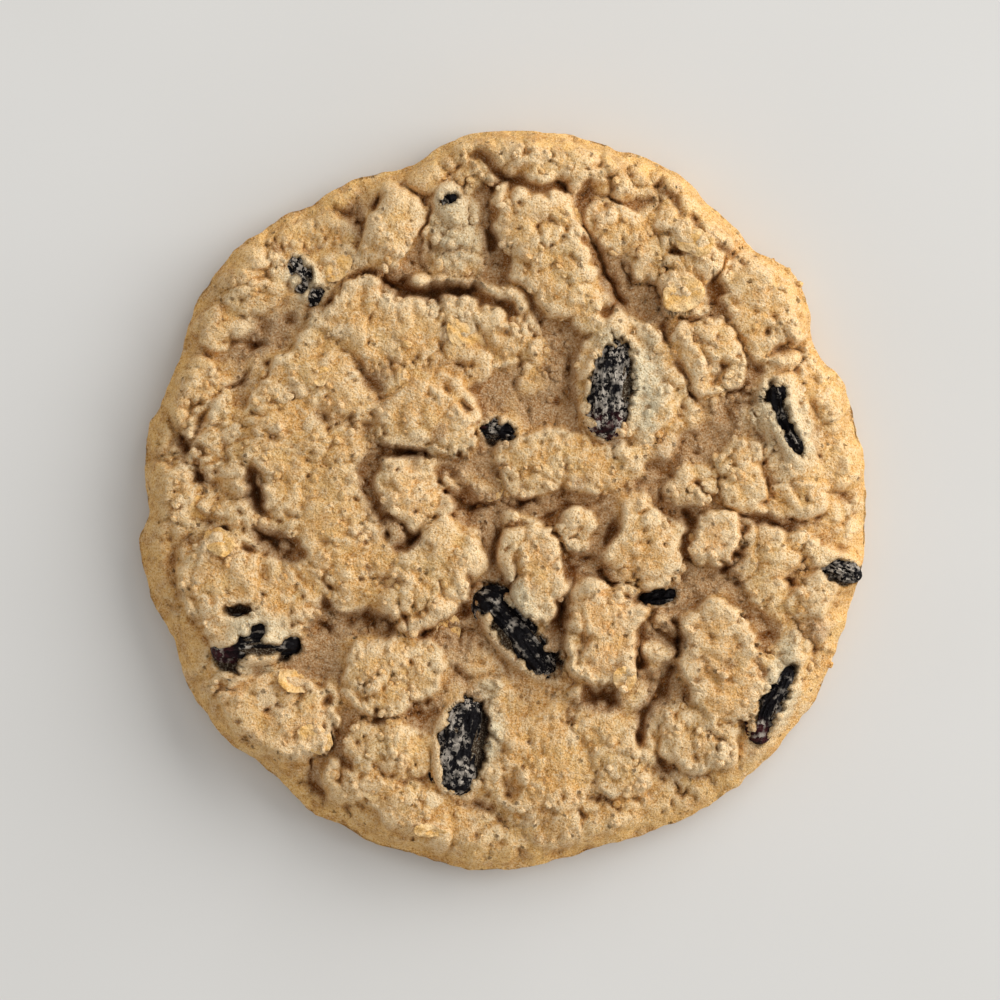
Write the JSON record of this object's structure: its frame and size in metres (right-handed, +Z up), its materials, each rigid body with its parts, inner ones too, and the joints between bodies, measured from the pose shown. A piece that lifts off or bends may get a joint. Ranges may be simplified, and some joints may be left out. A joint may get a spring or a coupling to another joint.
{
  "type": "oatmeal raisin cookie",
  "caption": "Round baked oatmeal cookie with a craggy lumped top, a rolled rim, a flat underside and raisins showing at the surface.",
  "frame": {"origin": "middle of the flat underside", "axes": "+Z up through the thickness, +Y towards the folded-over flap at the far edge"},
  "size_m": [0.0849, 0.0864, 0.0122],
  "materials": {
    "dough": "baked crumb, matte, browner at the rim",
    "raisin": "dark wrinkled skin, slightly glossy"
  },
  "bodies": {
    "root": {"cookie": "dough", "raisin_large_upper": "raisin", "raisin_slit_right": "raisin", "raisin_middle": "raisin", "raisin_long": "raisin", "raisin_lower": "raisin", "raisin_left": "raisin", "raisin_right": "raisin", "raisin_rim": "raisin", "raisin_crack": "raisin", "raisin_upper_left": "raisin", "raisin_covered": "raisin"}
  },
  "joints": []
}
